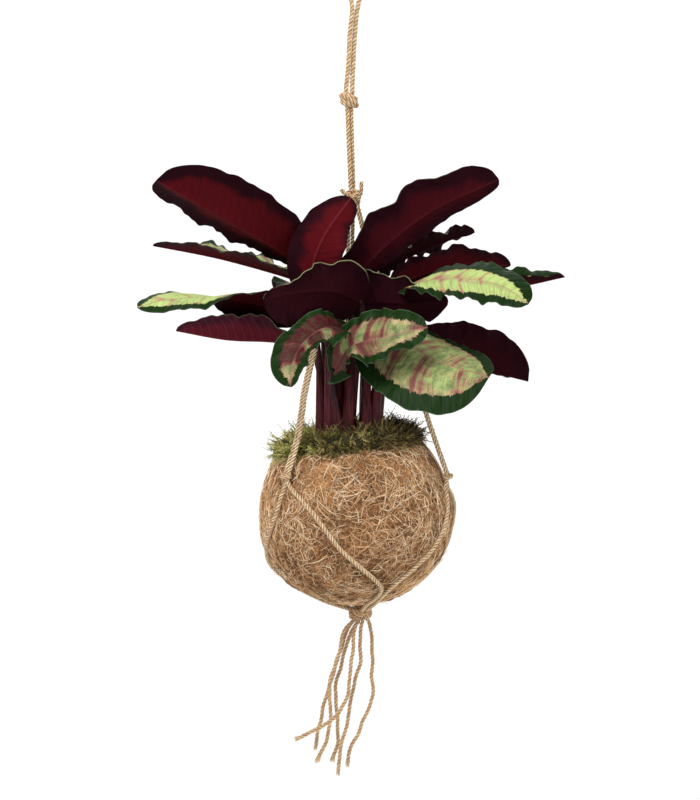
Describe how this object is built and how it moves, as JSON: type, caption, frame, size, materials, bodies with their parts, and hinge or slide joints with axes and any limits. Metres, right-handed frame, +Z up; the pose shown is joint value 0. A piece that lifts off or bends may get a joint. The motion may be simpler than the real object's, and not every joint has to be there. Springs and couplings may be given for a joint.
{
  "type": "hanging potted calathea",
  "caption": "Calathea with burgundy-backed leaves in a hollow coconut-fibre ball topped with moss, hung in a knotted net of jute rope.",
  "frame": {"origin": "inside top of the hanging loop, the point that the whole thing hangs from", "axes": "+Z up along the hang, +X to the right and -Y towards the viewer, as the plant is usually seen"},
  "size_m": [0.3204, 0.2009, 0.6036],
  "materials": {
    "leaf": "satin, burgundy below, cream and dark green above",
    "stalk": "satin, dark maroon",
    "coir": "rough matted coconut fibre",
    "moss": "matte, feathery",
    "soil": "matte, crumbly",
    "jute": "matte, twisted from three strands"
  },
  "bodies": {
    "root": {"leaf_01_blade": "leaf", "leaf_01_stalk": "stalk", "leaf_02_blade": "leaf", "leaf_02_stalk": "stalk", "leaf_03_blade": "leaf", "leaf_03_stalk": "stalk", "leaf_04_blade": "leaf", "leaf_04_stalk": "stalk", "leaf_05_blade": "leaf", "leaf_05_stalk": "stalk", "leaf_06_blade": "leaf", "leaf_06_stalk": "stalk", "leaf_07_blade": "leaf", "leaf_07_stalk": "stalk", "leaf_08_blade": "leaf", "leaf_08_stalk": "stalk", "leaf_09_blade": "leaf", "leaf_09_stalk": "stalk", "leaf_10_blade": "leaf", "leaf_10_stalk": "stalk", "leaf_11_blade": "leaf", "leaf_11_stalk": "stalk", "leaf_12_blade": "leaf", "leaf_12_stalk": "stalk", "leaf_13_blade": "leaf", "leaf_13_stalk": "stalk", "leaf_14_blade": "leaf", "leaf_14_stalk": "stalk", "leaf_15_blade": "leaf", "leaf_15_stalk": "stalk", "leaf_16_blade": "leaf", "leaf_16_stalk": "stalk", "leaf_17_blade": "leaf", "leaf_17_stalk": "stalk", "leaf_18_blade": "leaf", "leaf_18_stalk": "stalk", "coir_pot": "coir", "soil": "soil", "moss": "moss", "hanging_loop": "jute", "top_knot": "jute", "twin_rope": "jute", "tie_knot": "jute", "left_arm": "jute", "right_arm": "jute", "back_arm": "jute", "left_long_net_strand": "jute", "left_short_net_strand": "jute", "right_long_net_strand": "jute", "right_short_net_strand": "jute", "back_long_net_strand": "jute", "back_short_net_strand": "jute", "bottom_knot": "jute", "tail_1": "jute", "tail_2": "jute", "tail_3": "jute", "tail_4": "jute", "tail_5": "jute", "tail_6": "jute"}
  },
  "joints": []
}
